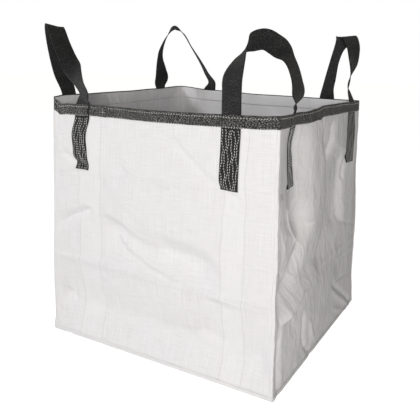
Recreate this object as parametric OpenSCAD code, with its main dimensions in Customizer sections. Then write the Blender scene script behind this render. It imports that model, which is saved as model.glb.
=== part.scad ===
// One-tonne bulk bag: an open-topped sack of woven fabric. Four walls and a
// base are sewn together, a webbing tape binds the mouth, and four lifting
// loops cross the corners, each sewn down one leg to either wall.
// The origin is the middle of the base, on the floor. +X is to the right,
// +Y to the back and +Z up.

/* [Sack] */
// Width of the mouth, left to right
mouth_w = 890; // [700:10:1150]
// Depth of the mouth, front to back
mouth_d = 840; // [700:10:1150]
// Height of the rim above the floor
rim_h = 877; // [500:1:1400]
// How far the foot of each wall stands out past the mouth
foot_out = 15; // [0:1:40]
// Thickness of the woven fabric
fabric_t = 1; // [0.6:0.1:1.8]
// Depth of the hem that is folded inside at the mouth
hem_fold = 45; // [30:1:90]

/* [Seams] */
// Width of the folded seam along each corner and around the base
seam_w = 6; // [4:0.5:10]
// Height of the folded seam around the base
base_seam_h = 12; // [8:1:20]
// Distance of the seams' thread from the corner
thread_inset = 10; // [8:1:20]

/* [Mouth tape] */
// Width of the webbing tape around the mouth
tape_w = 40; // [20:1:60]
// Thickness of the tape
tape_t = 1.2; // [0.8:0.1:2]
// Length of the tape's overlapped ends
tape_lap = 40; // [20:1:60]
// Distance from the front left leg to the middle of the overlap
lap_from_leg = 104; // [90:1:200]
// Run of the tape's step up onto a leg
tape_ramp = 6; // [4:1:12]
// Distance of each row of stitches from the tape's edge
row_margin = 5; // [3:0.5:8]

/* [Lifting loops] */
// Width of the loop webbing
strap_w = 65; // [40:1:75]
// Thickness of the loop webbing
strap_t = 2.2; // [1.5:0.1:3]
// Length of each leg that is sewn to the wall, below the rim
sewn_len = 232; // [150:1:350]
// Corner to middle of leg on the front or back wall: front left, front right, back right, back left
long_inset = [130, 158, 143, 165]; // [80:1:250]
// Corner to middle of leg on a side wall: front left, front right, back right, back left
side_inset = [80, 128, 129, 165]; // [80:1:250]
// Height of each loop's top above the rim, in the same order
loop_rise = [270, 257, 272, 290]; // [200:1:400]
// How far each loop's top leans out past its legs, in the same order
loop_lean = [67, -40, 20, 0]; // [-80:1:80]
// How far each loop's top leans from its first leg towards its second, in the same order
loop_sway = [0, -10, 0, 42]; // [-50:1:50]
// How far the webbing is turned on edge at each loop's top, in degrees, in the same order
crown_turn = [0, 70, 15, 0]; // [0:1:80]
// Height above the rim over which a leg bends when its loop is swung
flex_h = 80; // [60:1:110]

/* [Stitching] */
// Width of a line of stitches
stitch_w = 1.2; // [0.8:0.1:2]
// How far a line of stitches stands proud
stitch_t = 0.5; // [0.3:0.1:0.8]
// Number of rows down each sewn leg
leg_rows = 6; // [3:1:8]
// Distance of the leg stitching from the webbing's edges
leg_margin = 7; // [5:1:10]

/* [Hidden] */

// Walls are numbered round the sack: 0 front, 1 right, 2 back, 3 left.
// Corner i lies between wall i, at its left end, and the wall before it.
FRONT = 0;
RIGHT = 1;
BACK = 2;
LEFT = 3;

fabric_colour = [0.93, 0.93, 0.92];
seam_colour = [0.88, 0.88, 0.87];
webbing_colour = [0.11, 0.11, 0.12];
thread_colour = [0.97, 0.97, 0.96];

wall_lean = atan(foot_out / rim_h);
// Gap between a loop and the bends below it, which are on different bodies
loop_gap = 0.3;
// Part of the tape's thickness by which the side walls' runs enter the corner
tape_corner_share = 0.8;
// Rings along a whole loop, from leg to leg
loop_rings = 36;
// Rings along one bend
bend_rings = 6;
// Share of the loop, from each leg, in which the webbing turns to face the opening
turn_share = 0.42;
// Gap between the rows of thread that meet at a corner or at the base
thread_gap = 5;

// Half the length of wall k along the mouth, and its distance from the middle
function half_len(k) = k % 2 == 0 ? mouth_w / 2 : mouth_d / 2;
function standoff(k) = half_len(k + 1);

// How far the outer face at height z stands out past the mouth
function out_at(z) = foot_out * (1 - z / rim_h);

// Place along wall k of its left leg (side 0) and its right leg (side 1)
function inset(corner, k) = k % 2 == 0 ? long_inset[corner] : side_inset[corner];
function leg_x(k, side) =
    side == 0 ? -(half_len(k) - inset(k, k)) : half_len(k) - inset((k + 1) % 4, k);

// A level vector turned with wall k
function turned(k, v) = [
    v[0] * cos(90 * k) - v[1] * sin(90 * k),
    v[0] * sin(90 * k) + v[1] * cos(90 * k),
    0
];

function unit(v) = v / norm(v);
function smooth(x) = let (c = min(1, max(0, x))) c * c * (3 - 2 * c);

// A block from four corners below, anticlockwise from above, to four above
module block(low, high) {
    polyhedron(
        points = concat(low, high),
        faces = [
            [0, 1, 2, 3], [7, 6, 5, 4],
            [0, 4, 5, 1], [1, 5, 6, 2], [2, 6, 7, 3], [3, 7, 4, 0]
        ]
    );
}

// The four corners at height z of a piece on a wall: x from x0 to x1, and
// depth from d0 to d1 inside the wall's outer face
function section(k, z, x0, x1, d0, d1) =
    let (face = -(standoff(k) + out_at(z)))
    [[x0, face + d0, z], [x1, face + d0, z], [x1, face + d1, z], [x0, face + d1, z]];

// A strip of wall k from z0 to z1 that stops short of both corners by ends
module wall_strip(k, z0, z1, ends, d0, d1) {
    x0 = half_len(k) + out_at(z0) - ends;
    x1 = half_len(k) + out_at(z1) - ends;
    rotate([0, 0, 90 * k])
        block(section(k, z0, -x0, x0, d0, d1), section(k, z1, -x1, x1, d0, d1));
}

// A line of thread on wall k that follows its left (-1) or right (1) corner
module corner_thread(k, side) {
    z0 = base_seam_h + 2 * thread_gap;
    z1 = rim_h - tape_w - thread_gap;
    mid0 = side * (half_len(k) + out_at(z0) - thread_inset);
    mid1 = side * (half_len(k) + out_at(z1) - thread_inset);
    w = stitch_w / 2;
    rotate([0, 0, 90 * k])
        block(
            section(k, z0, mid0 - w, mid0 + w, -stitch_t, 0),
            section(k, z1, mid1 - w, mid1 + w, -stitch_t, 0)
        );
}

// Puts its children on wall k: x along the wall, -y outwards from its outer
// face, and z up the slope of the wall from the rim
module on_wall(k) {
    rotate([0, 0, 90 * k])
        translate([0, -standoff(k), rim_h])
            rotate([-wall_lean, 0, 0])
                children();
}

// ---- Sack ----

module panel(k) {
    color(fabric_colour) {
        wall_strip(k, base_seam_h, rim_h, seam_w, 0, fabric_t);
        wall_strip(k, rim_h - hem_fold, rim_h, seam_w, fabric_t, 2 * fabric_t);
    }
}

module base_panel() {
    w = mouth_w + 2 * (foot_out - seam_w);
    d = mouth_d + 2 * (foot_out - seam_w);
    color(fabric_colour)
        translate([-w / 2, -d / 2, 0])
            cube([w, d, fabric_t]);
}

module base_seam(k) {
    x0 = half_len(k) + foot_out - seam_w;
    x1 = half_len(k) + out_at(base_seam_h) - seam_w;
    drop = foot_out - out_at(base_seam_h);
    color(seam_colour)
        rotate([0, 0, 90 * k])
            block(
                section(k, 0, -x0, x0, 0, seam_w),
                section(k, base_seam_h, -x1, x1, 0, seam_w - drop)
            );
}

// Corner i is at the left end of wall i
module corner_seam(i) {
    function square_at(z) =
        let (x = -(half_len(i) + out_at(z)))
        section(i, z, x, x + seam_w, 0, seam_w);
    color(seam_colour)
        rotate([0, 0, 90 * i])
            block(square_at(0), square_at(rim_h));
}

module corner_seam_threads() {
    color(thread_colour)
        for (k = [FRONT : LEFT], side = [-1, 1])
            corner_thread(k, side);
}

module base_seam_threads() {
    z = base_seam_h + thread_gap;
    color(thread_colour)
        for (k = [FRONT : LEFT])
            wall_strip(k, z, z + stitch_w, thread_inset, -stitch_t, 0);
}

// ---- Mouth tape ----

// The steps that the tape makes on wall k, from left to right: each is the
// place along the wall, half the width and the height of what it covers
function leg_steps(k) = [for (side = [0, 1]) [leg_x(k, side), strap_w / 2, strap_t]];
function lap_x() = leg_x(FRONT, 0) + lap_from_leg;
function outer_steps(k) =
    k == FRONT
        ? [leg_steps(k)[0], [lap_x(), tape_lap / 2, tape_t], leg_steps(k)[1]]
        : leg_steps(k);

// A line along wall k that stays out from it and climbs over the steps
function stepped_line(steps, end, out) = concat(
    [[-end, -out]],
    [
        for (s = steps, side = [-1, 1])
            each side < 0
                ? [[s[0] - s[1] - tape_ramp, -out], [s[0] - s[1], -out - s[2]]]
                : [[s[0] + s[1], -out - s[2]], [s[0] + s[1] + tape_ramp, -out]]
    ],
    [[end, -out]]
);
function reversed(list) = [for (i = [len(list) - 1 : -1 : 0]) list[i]];

module mouth_tape() {
    color(webbing_colour)
        for (k = [FRONT : LEFT]) {
            end = half_len(k) + tape_t * (k % 2 == 0 ? 1 : tape_corner_share);
            on_wall(k)
                translate([0, 0, -tape_w])
                    linear_extrude(tape_w)
                        polygon(concat(
                            stepped_line(leg_steps(k), end, 0),
                            reversed(stepped_line(outer_steps(k), end, tape_t))
                        ));
        }
}

// A row of stitches around the tape, its middle at drop below the rim
module tape_row(drop) {
    color(thread_colour)
        for (k = [FRONT : LEFT])
            on_wall(k)
                translate([0, 0, -drop - stitch_w / 2])
                    linear_extrude(stitch_w)
                        polygon(concat(
                            stepped_line(outer_steps(k), half_len(k) - thread_gap, tape_t),
                            reversed(stepped_line(
                                outer_steps(k), half_len(k) - thread_gap, tape_t + stitch_t
                            ))
                        ));
}

// The T of stitches that holds the tape's overlapped ends
module mouth_tape_lap_stitches() {
    high = tape_w - 2 * row_margin - 3 * stitch_w;
    bar = tape_lap / 2;
    color(thread_colour)
        on_wall(FRONT)
            translate([lap_x(), -2 * tape_t - stitch_t, -row_margin - 1.5 * stitch_w]) {
                translate([-stitch_w / 2, 0, -high])
                    cube([stitch_w, stitch_t, high]);
                translate([-bar / 2, 0, -high / 2])
                    cube([bar, stitch_t, stitch_w]);
            }
}

// ---- Lifting loops ----

// Middle of the webbing where leg (side) of corner i's loop passes the rim.
// The first leg is on the wall before the corner and the second on wall i.
function leg_top(i, side) =
    let (k = side == 0 ? (i + 3) % 4 : i)
    turned(k, [leg_x(k, 1 - side), -(standoff(k) + strap_t / 2)]);
// Level direction across a leg's webbing, towards the corner
function leg_across(i, side) = side == 0 ? turned((i + 3) % 4, [1, 0]) : turned(i, [-1, 0]);

function loop_mid(i) = (leg_top(i, 0) + leg_top(i, 1)) / 2;
function loop_along(i) = unit(leg_top(i, 1) - leg_top(i, 0));
function loop_out(i) = let (e = loop_along(i)) [e[1], -e[0], 0];
function loop_half_span(i) = norm(leg_top(i, 1) - leg_top(i, 0)) / 2;

// Height of the webbing's middle line at the top of the loop
function crown_h(i) = loop_rise[i] - strap_w / 2 * sin(crown_turn[i]) - strap_t / 2;
// The rim is the foot of the slope on the outer face of a leg
leg_top_z = rim_h + strap_t * sin(wall_lean);

// Middle line of the loop at angle a, from 0 at the first leg to 180
function loop_point(i, a) =
    let (
        up = sin(a),
        e = loop_along(i),
        n = loop_out(i),
        along = -loop_half_span(i) * cos(a) + loop_sway[i] * up * up
    )
    loop_mid(i) + along * e + loop_lean[i] * pow(up, 1.5) * n
        + [0, 0, leg_top_z + crown_h(i) * up];

// Direction along the loop at angle a
function loop_tangent(i, a) =
    a <= 0 ? [0, 0, 1] :
    a >= 180 ? [0, 0, -1] :
    unit(loop_point(i, a + 0.5) - loop_point(i, a - 0.5));

// Direction across the webbing at angle a: it lies along the wall at each
// leg, and turns to face the opening at the top
function loop_across(i, a) =
    let (
        side = a < 90 ? 0 : 1,
        from_leg = (a < 90 ? a : 180 - a) / 180,
        k = smooth(from_leg / turn_share),
        top = loop_out(i) * cos(crown_turn[i]) + [0, 0, sin(crown_turn[i])],
        t = loop_tangent(i, a),
        w = (1 - k) * leg_across(i, side) + k * top
    )
    unit(w - (w * t) * t);

// The four corners of the webbing at angle a
function webbing_ring(i, a) =
    let (
        p = loop_point(i, a),
        w = loop_across(i, a) * strap_w / 2,
        n = cross(loop_tangent(i, a), loop_across(i, a)) * strap_t / 2
    )
    [p - w - n, p + w - n, p + w + n, p - w + n];

// A length of webbing through rings of four corners
module webbing(rings) {
    last = 4 * (len(rings) - 1);
    polyhedron(
        points = [for (r = rings) each r],
        faces = concat(
            [[0, 1, 2, 3], [last + 3, last + 2, last + 1, last]],
            [
                for (i = [0 : len(rings) - 2], j = [0 : 3])
                    let (a = 4 * i + j, b = 4 * i + (j + 1) % 4)
                    each [[a, a + 4, b + 4], [a, b + 4, b]]
            ]
        )
    );
}

// Angle at which corner i's loop is a given height above the rim
function angle_at(i, h) = asin(h / crown_h(i));

module loop(i) {
    a0 = angle_at(i, flex_h + loop_gap);
    color(webbing_colour)
        webbing([
            for (s = [0 : loop_rings])
                webbing_ring(i, a0 + (180 - 2 * a0) * s / loop_rings)
        ]);
}

module loop_bends(i) {
    a1 = angle_at(i, flex_h);
    color(webbing_colour) {
        webbing([for (s = [0 : bend_rings]) webbing_ring(i, a1 * s / bend_rings)]);
        webbing([for (s = [0 : bend_rings]) webbing_ring(i, 180 - a1 + a1 * s / bend_rings)]);
    }
}

// Puts its children at the top of one leg of corner i's loop, on its wall
module on_leg(i, side) {
    k = side == 0 ? (i + 3) % 4 : i;
    on_wall(k)
        translate([leg_x(k, 1 - side), 0, 0])
            children();
}

module loop_legs(i) {
    color(webbing_colour)
        for (side = [0, 1])
            on_leg(i, side)
                translate([-strap_w / 2, -strap_t, -sewn_len])
                    cube([strap_w, strap_t, sewn_len]);
}

// Rows of stitches down both legs, joined by a row at the top and the end
module leg_stitches(i) {
    top = -tape_w - thread_gap;
    end = -sewn_len + leg_margin;
    wide = strap_w - 2 * leg_margin;
    pitch = (wide - stitch_w) / (leg_rows - 1);
    color(thread_colour)
        for (side = [0, 1])
            on_leg(i, side)
                translate([-wide / 2, -strap_t - stitch_t, 0]) {
                    for (row = [0 : leg_rows - 1])
                        translate([row * pitch, 0, end])
                            cube([stitch_w, stitch_t, top - end]);
                    for (z = [top - stitch_w, end])
                        translate([0, 0, z])
                            cube([wide, stitch_t, stitch_w]);
                }
}

// ---- Pieces ----

base_panel();
panel(FRONT);  // front_panel
panel(RIGHT);  // right_panel
panel(BACK);  // back_panel
panel(LEFT);  // left_panel
base_seam(FRONT);  // front_base_seam
base_seam(RIGHT);  // right_base_seam
base_seam(BACK);  // back_base_seam
base_seam(LEFT);  // left_base_seam
corner_seam(0);  // front_left_corner_seam
corner_seam(1);  // front_right_corner_seam
corner_seam(2);  // back_right_corner_seam
corner_seam(3);  // back_left_corner_seam
corner_seam_threads();
base_seam_threads();
mouth_tape();
tape_row(row_margin);  // mouth_tape_upper_stitches
tape_row(tape_w - row_margin);  // mouth_tape_lower_stitches
mouth_tape_lap_stitches();
loop(0);  // front_left_loop
loop(1);  // front_right_loop
loop(2);  // back_right_loop
loop(3);  // back_left_loop
loop_bends(0);  // front_left_loop_bends
loop_bends(1);  // front_right_loop_bends
loop_bends(2);  // back_right_loop_bends
loop_bends(3);  // back_left_loop_bends
loop_legs(0);  // front_left_loop_legs
loop_legs(1);  // front_right_loop_legs
loop_legs(2);  // back_right_loop_legs
loop_legs(3);  // back_left_loop_legs
leg_stitches(0);  // front_left_leg_stitches
leg_stitches(1);  // front_right_leg_stitches
leg_stitches(2);  // back_right_leg_stitches
leg_stitches(3);  // back_left_leg_stitches
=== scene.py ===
import math

import bmesh
import bpy
import numpy as np
from mathutils import Matrix, Vector


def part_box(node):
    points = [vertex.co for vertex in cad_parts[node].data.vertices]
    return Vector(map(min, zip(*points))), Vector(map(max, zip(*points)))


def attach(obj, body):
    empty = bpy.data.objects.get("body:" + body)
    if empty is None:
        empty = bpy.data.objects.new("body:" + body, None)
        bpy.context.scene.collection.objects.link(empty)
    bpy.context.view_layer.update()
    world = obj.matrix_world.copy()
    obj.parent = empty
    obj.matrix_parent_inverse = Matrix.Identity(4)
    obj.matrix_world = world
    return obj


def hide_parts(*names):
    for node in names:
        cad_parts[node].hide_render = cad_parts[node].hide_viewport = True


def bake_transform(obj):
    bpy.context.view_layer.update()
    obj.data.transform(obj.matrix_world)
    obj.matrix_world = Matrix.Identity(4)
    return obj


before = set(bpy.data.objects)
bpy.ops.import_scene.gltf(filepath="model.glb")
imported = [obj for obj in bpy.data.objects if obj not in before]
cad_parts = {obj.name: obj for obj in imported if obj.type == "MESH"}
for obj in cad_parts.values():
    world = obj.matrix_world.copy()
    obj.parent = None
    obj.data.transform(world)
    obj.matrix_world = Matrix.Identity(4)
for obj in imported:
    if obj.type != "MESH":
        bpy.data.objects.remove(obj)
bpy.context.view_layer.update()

# ---------------------------------------------------------------------------
# The studio: a plain white floor, a soft light high at the front left, a second one
# low at the front right that grazes the right wall, and an even white room.

CAMERA_AZIMUTH = math.radians(29.31)
CAMERA_ELEVATION = math.radians(10)
CAMERA_ROLL = math.radians(1.11)
CAMERA_DISTANCE = 2.1649
CAMERA_TARGET = Vector((0, 0, 0.6507))
CAMERA_LENS = 46.82
CAMERA_SHIFT = (-0.014, -0.1212)
LIGHT_AIM = (0, 0, 0.5)
KEY_PLACE = (-2.5, -2.6, 3.0)
KEY_SIZE = 1.0
KEY_POWER = 65
KEY_COLOUR = (0.97, 0.98, 1)
SIDE_PLACE = (1.7, -3.3, 1.1)
SIDE_SIZE = 0.8
SIDE_POWER = 54
SIDE_COLOUR = (1, 0.975, 0.93)
ROOM_COLOUR = (1, 0.965, 0.91, 1)
ROOM_LIGHT = 0.165
ROOM_SHOWN = 1.0
FLOOR_HALF = 30.0
FLOOR_DROP = 0.0006
FLOOR_GLOW = 0.75
FLOOR_LIT = 0.1
FLOOR_WHITE = (0.92, 0.92, 0.92, 1)
FLOOR_ROUGH = 0.9

camera = bpy.data.objects.new("camera", bpy.data.cameras.new("camera"))
bpy.context.collection.objects.link(camera)
bpy.context.scene.camera = camera
camera_back = Vector((
    math.sin(CAMERA_AZIMUTH) * math.cos(CAMERA_ELEVATION),
    -math.cos(CAMERA_AZIMUTH) * math.cos(CAMERA_ELEVATION),
    math.sin(CAMERA_ELEVATION),
))
camera.matrix_world = (
    Matrix.Translation(CAMERA_TARGET + CAMERA_DISTANCE * camera_back)
    @ (-camera_back).to_track_quat("-Z", "Y").to_matrix().to_4x4()
    @ Matrix.Rotation(CAMERA_ROLL, 4, "Z")
)
camera.data.lens = CAMERA_LENS
camera.data.shift_x, camera.data.shift_y = CAMERA_SHIFT


def soft_light(name, place, size, power, colour):
    """A square area light at place that faces the bag."""
    lamp = bpy.data.lights.new(name, "AREA")
    lamp.shape, lamp.size = "SQUARE", size
    lamp.energy, lamp.color = power, colour
    light = bpy.data.objects.new(name, lamp)
    bpy.context.collection.objects.link(light)
    aim = (Vector(LIGHT_AIM) - Vector(place)).to_track_quat("-Z", "Y")
    light.matrix_world = Matrix.Translation(place) @ aim.to_matrix().to_4x4()


soft_light("key_light", KEY_PLACE, KEY_SIZE, KEY_POWER, KEY_COLOUR)
soft_light("side_light", SIDE_PLACE, SIDE_SIZE, SIDE_POWER, SIDE_COLOUR)


def node(tree, kind, inputs=None, **settings):
    """A new node; each input is a value, or the socket that feeds it."""
    made = tree.nodes.new(kind)
    for key, value in settings.items():
        setattr(made, key, value)
    for key, value in (inputs or {}).items():
        if isinstance(value, bpy.types.NodeSocket):
            tree.links.new(value, made.inputs[key])
        else:
            made.inputs[key].default_value = value
    return made


room = bpy.data.worlds.new("room")
bpy.context.scene.world = room
room.use_nodes = True
tree = room.node_tree
tree.nodes.clear()
lit = node(tree, "ShaderNodeBackground", {"Color": ROOM_COLOUR, "Strength": ROOM_LIGHT})
shown = node(tree, "ShaderNodeBackground", {"Color": (1, 1, 1, 1), "Strength": ROOM_SHOWN})
ray = node(tree, "ShaderNodeLightPath")
chosen = node(tree, "ShaderNodeMixShader", {
    0: ray.outputs["Is Camera Ray"], 1: lit.outputs[0], 2: shown.outputs[0],
})
node(tree, "ShaderNodeOutputWorld", {"Surface": chosen.outputs[0]})
bpy.context.scene.view_settings.view_transform = "Standard"

floor_mesh = bmesh.new()
bmesh.ops.create_grid(floor_mesh, x_segments=1, y_segments=1, size=FLOOR_HALF)
bmesh.ops.translate(floor_mesh, verts=floor_mesh.verts, vec=(0, 0, -FLOOR_DROP))
floor = bpy.data.objects.new("floor", bpy.data.meshes.new("floor"))
floor_mesh.to_mesh(floor.data)
floor_mesh.free()
bpy.context.collection.objects.link(floor)
floor_paint = bpy.data.materials.new("floor_paint")
floor_paint.use_nodes = True
paint = floor_paint.node_tree.nodes["Principled BSDF"]
paint.inputs["Base Color"].default_value = FLOOR_WHITE
paint.inputs["Roughness"].default_value = FLOOR_ROUGH
paint.inputs["Emission Color"].default_value = (1, 1, 1, 1)
seen = node(floor_paint.node_tree, "ShaderNodeLightPath").outputs["Is Camera Ray"]
glow = node(floor_paint.node_tree, "ShaderNodeMath", {
    0: seen, 1: FLOOR_GLOW, 2: FLOOR_LIT,
}, operation="MULTIPLY_ADD")
floor_paint.node_tree.links.new(glow.outputs[0], paint.inputs["Emission Strength"])
floor.data.materials.append(floor_paint)

# ---------------------------------------------------------------------------
# The four walls. Each is one width of white coated fabric woven from flat plastic
# tapes, cut with a strip to spare that is turned in at the mouth. It stands by its
# own stiffness, so it bellies, folds and keeps the creases of its packing.

WALLS = ("front", "right", "back", "left")
CORNERS = ("front_left", "front_right", "back_right", "back_left")
FOOT_OUT = 0.015
CLOTH_THICK = 0.0008
HEM_DEPTH = 0.045
HEM_GAP = 0.0024
COLUMNS, ROWS, HEM_ROWS = 180, 180, 9

foot_corner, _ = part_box("front_left_corner_seam")
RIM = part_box("front_left_corner_seam")[1].z
FOOT_HALF = (-foot_corner.x, -foot_corner.y)

# Radius of each corner at the foot and at the mouth
CORNER_RADIUS = ((0.007, 0.010), (0.005, 0.006), (0.007, 0.016), (0.007, 0.034))
# How the corner lines wander: height, shift along x and along y, in millimetres
CORNER_WANDER = (
    ((0, -1, 0), (.07, 2, 3), (.3, -2, 0), (.55, 3, -2), (.8, -2, 2), (1, 0, 0)),
    (
        (0, 0, -1), (.1, -2, 2), (.3, 2, -2), (.36, -2, 0),
        (.5, 3, -1), (.66, 0, 1), (.8, -2, 0), (1, 0, 0),
    ),
    ((0, 1, 0), (.15, -4, 0), (.45, 2, 2), (.7, -3, -2), (1, 0, 0)),
    ((0, 0, 0), (.2, 3, -3), (.5, -2, 2), (.8, 3, 0), (1, 0, 0)),
)
# How far each wall's rim stands above the frame's, along the wall, in millimetres
RIM_LINE = (
    (
        (-1, 14), (-.97, 4), (-.92, -10), (-.84, -7), (-.6, -5),
        (.05, -9), (.35, -8), (.6, -6), (.85, -4), (1, 0),
    ),
    ((-1, 0), (-.75, -2), (-.5, -2), (-.28, 5), (-.12, 9), (.3, 7), (1, 3)),
    ((-1, 3), (0, 8), (.6, 18), (1, 30)),
    ((-1, 30), (-.5, 24), (0, 20), (.5, 19), (.85, 20), (1, 14)),
)

# The folds of each wall: depth in mm (inwards), width in mm on its left and its
# right, sharpness, and its line in shares of the half length and of the height
FRONT_FOLDS = [
    (-5, 12, 26, 0.8, [(-1, .345), (-.4, .352), (0, .345), (.3, .332), (1, .336)]),
    (-2.5, 10, 20, 0.8, [(-1, .722), (-.4, .73), (.1, .725), (.6, .72)]),
    (11, 110, 55, 0.0, [(-1, .15), (-.5, .15), (0, .135), (.5, .115), (1, .11)]),
    (-7, 75, 45, 0.1, [(-.46, .70), (-.2, .63), (.05, .56), (.35, .53), (.75, .45)]),
    (8, 45, 75, 0.2, [(-.55, .53), (-.1, .468), (.3, .46), (.6, .45)]),
    (-5, 40, 22, 0.2, [(-.52, .585), (-.3, .56), (-.1, .5), (.1, .475)]),
    (-6, 50, 14, 0.4, [(-.36, .505), (-.2, .44), (0, .40), (.32, .36)]),
    (4.5, 16, 34, 0.3, [(.08, .93), (.3, .84), (.5, .76), (.78, .685)]),
    (-3, 14, 9, 0.4, [(-.29, .80), (-.24, .77), (-.16, .742)]),
    (6, 16, 24, 0.4, [(-1, .86), (-.93, .80), (-.8, .765), (-.62, .745)]),
    (6, 14, 26, 0.4, [(-1, .49), (-.85, .53), (-.68, .565), (-.58, .57)]),
    (5, 60, 45, 0.0, [(.56, .34), (.52, .24), (.46, .14)]),
    (-4, 60, 60, 0.0, [(.2, .33), (.25, .24), (.26, .16)]),
    (6, 9, 13, 0.4, [(-1, .105), (-.92, .07), (-.85, .0)]),
    (5, 12, 10, 0.4, [(-1, .21), (-.9, .17), (-.82, .135)]),
    (-4, 7, 7, 0.3, [(-1, .055), (-.93, .035), (-.86, .03)]),
    (2.8, 8, 8, 0.4, [(-.40, .12), (-.46, .06), (-.5, .0)]),
    (2.2, 8, 10, 0.3, [(-.18, .1), (-.25, .04), (-.3, .0)]),
    (-3, 16, 12, 0.3, [(.08, .065), (.2, .035), (.34, .03)]),
    (2, 8, 8, 0.4, [(.6, .1), (.63, .05), (.62, .0)]),
    (-2.5, 12, 9, 0.5, [(.02, .735), (.1, .73), (.17, .717)]),
]
RIGHT_FOLDS = [
    (24, 60, 85, 0.1, [(-.6, 1), (-.59, .85), (-.58, .74), (-.6, .66), (-.7, .55)]),
    (17, 62, 24, 0.2, [
        (-.18, .965), (-.13, .92), (-.04, .82), (.0, .7), (.03, .6), (.0, .5), (-.1, .42), (-.26, .37),
    ]),
    (13, 30, 130, 0.1, [(.52, .8), (.44, .68), (.42, .58), (.46, .46)]),
    (7, 14, 18, 0.3, [(.18, .94), (.13, .85), (.08, .76)]),
    (15, 32, 42, 0.1, [(-.48, .68), (-.52, .57), (-.62, .48), (-.78, .4), (-1, .325)]),
    (-17, 34, 12, 0.3, [(-.93, .262), (-.78, .30), (-.6, .335), (-.4, .355), (-.2, .362)]),
    (9, 16, 22, 0.1, [(-.94, .27), (-.93, .12), (-.95, .0)]),
    (7, 14, 9, 0.4, [(-.49, .24), (-.45, .13), (-.38, .06), (-.24, .0)]),
    (-5, 10, 16, 0.3, [(-.32, .17), (-.26, .1), (-.16, .04)]),
    (8, 10, 14, 0.5, [(.27, .225), (.45, .17), (.7, .10), (.99, .0)]),
    (-5, 10, 14, 0.4, [(.24, .2), (.42, .145), (.66, .075), (.9, .0)]),
    (-4, 9, 8, 0.4, [(.34, .085), (.58, .035), (.8, .0)]),
    (2.5, 7, 9, 0.5, [(.44, .485), (.7, .445), (1, .41)]),
    (-2.5, 9, 9, 0.5, [(.38, .305), (.7, .3), (1, .3)]),
    (2.2, 8, 8, 0.5, [(.4, .2), (.7, .185), (1, .15)]),
    (-4, 8, 6, 0.4, [(-.46, .578), (-.32, .585), (-.2, .602)]),
    (5, 8, 12, 0.4, [(-1, .73), (-.9, .735), (-.72, .745)]),
    (-5, 9, 11, 0.4, [(-.84, .69), (-.79, .61), (-.72, .54)]),
    (-5, 9, 9, 0.3, [(-.32, 1), (-.24, .95), (-.13, .87)]),
    (4, 7, 7, 0.3, [(-.16, 1), (-.1, .955), (-.03, .9)]),
    (5, 9, 11, 0.4, [(-1, .47), (-.9, .44), (-.83, .40)]),
    (-3, 11, 16, 0.6, [(-.1, .345), (.3, .35), (1, .345)]),
    (4, 9, 9, 0.3, [(.62, .78), (.55, .73), (.5, .66)]),
]
# The bellies of each wall: out in mm, place, and radius along and up
FRONT_BELLIES = [
    (7, .3, .8, .5, .16), (6, -.1, .27, .6, .1), (-6, -.82, .4, .2, .2), (5, .85, .5, .16, .3),
]
RIGHT_BELLIES = [
    (22, -.32, .72, .36, .3), (9, .7, .62, .26, .18), (8, .33, .87, .2, .09),
    (8, -.8, .56, .16, .12), (13, .86, .86, .17, .2), (9, -.1, .2, .5, .13), (-8, .2, .55, .22, .2),
]
# Crinkles: the size of a facet and the depth of its folds, in metres
CRINKLES = ((0.17, 0.0060), (0.075, 0.0034), (0.032, 0.0013))
CRINKLE_LEVEL = 0.45
# How strong the folds and the crinkles of each wall are
FOLD_GAIN = (2.8, 1.7, 2.0, 1.5)
CRINKLE_GAIN = (0.7, 1.05, 0.8, 1.0)
# Gathers along the foot, where a wall is eased into the base
GATHER_DEPTH = (0.0006, 0.0024, 0.0008, 0.0020)
GATHER_PITCH = 0.021
GATHER_HIGH = 0.035
# Where the seams, the base and the tape hold the cloth: metres from a corner,
# shares of the height at the foot and at the mouth, and the shares they leave
CORNER_HOLD = 0.06
FOOT_HOLD, FOOT_FREE = 0.05, 0.25
MOUTH_HOLD, MOUTH_KEPT = 0.12, 0.55


def turned_about(folds, bellies, share):
    """A wall's folds, left for right, to a share of their depth."""
    other = [
        (deep * share, right, left, sharp, [(-a, h) for a, h in line])
        for deep, left, right, sharp, line in folds
    ]
    return other, [(out * share, -a, *rest) for out, a, *rest in bellies]


BACK_FOLDS, BACK_BELLIES = turned_about(FRONT_FOLDS, FRONT_BELLIES, 1.1)
LEFT_FOLDS, LEFT_BELLIES = turned_about(RIGHT_FOLDS, RIGHT_BELLIES, 0.7)
WALL_FOLDS = (FRONT_FOLDS, RIGHT_FOLDS, BACK_FOLDS, LEFT_FOLDS)
WALL_BELLIES = (FRONT_BELLIES, RIGHT_BELLIES, BACK_BELLIES, LEFT_BELLIES)


def ease(t):
    """From 0 to 1, slow at both ends."""
    t = np.clip(t, 0, 1)
    return t * t * (3 - 2 * t)


def half_length(k):
    """Half the length of wall k along the mouth."""
    return FOOT_HALF[k % 2] - FOOT_OUT


def smooth_path(points, t):
    """The values at t on a smooth line through rows of (t, values...)."""
    rows = np.array(points, float)
    knots, values = rows[:, 0], rows[:, 1:]
    t = np.clip(t, knots[0], knots[-1])
    i = np.clip(np.searchsorted(knots, t, side="right") - 1, 0, len(knots) - 2)
    s = ease((t - knots[i]) / (knots[i + 1] - knots[i]))[..., None]
    return values[i] * (1 - s) + values[i + 1] * s


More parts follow.
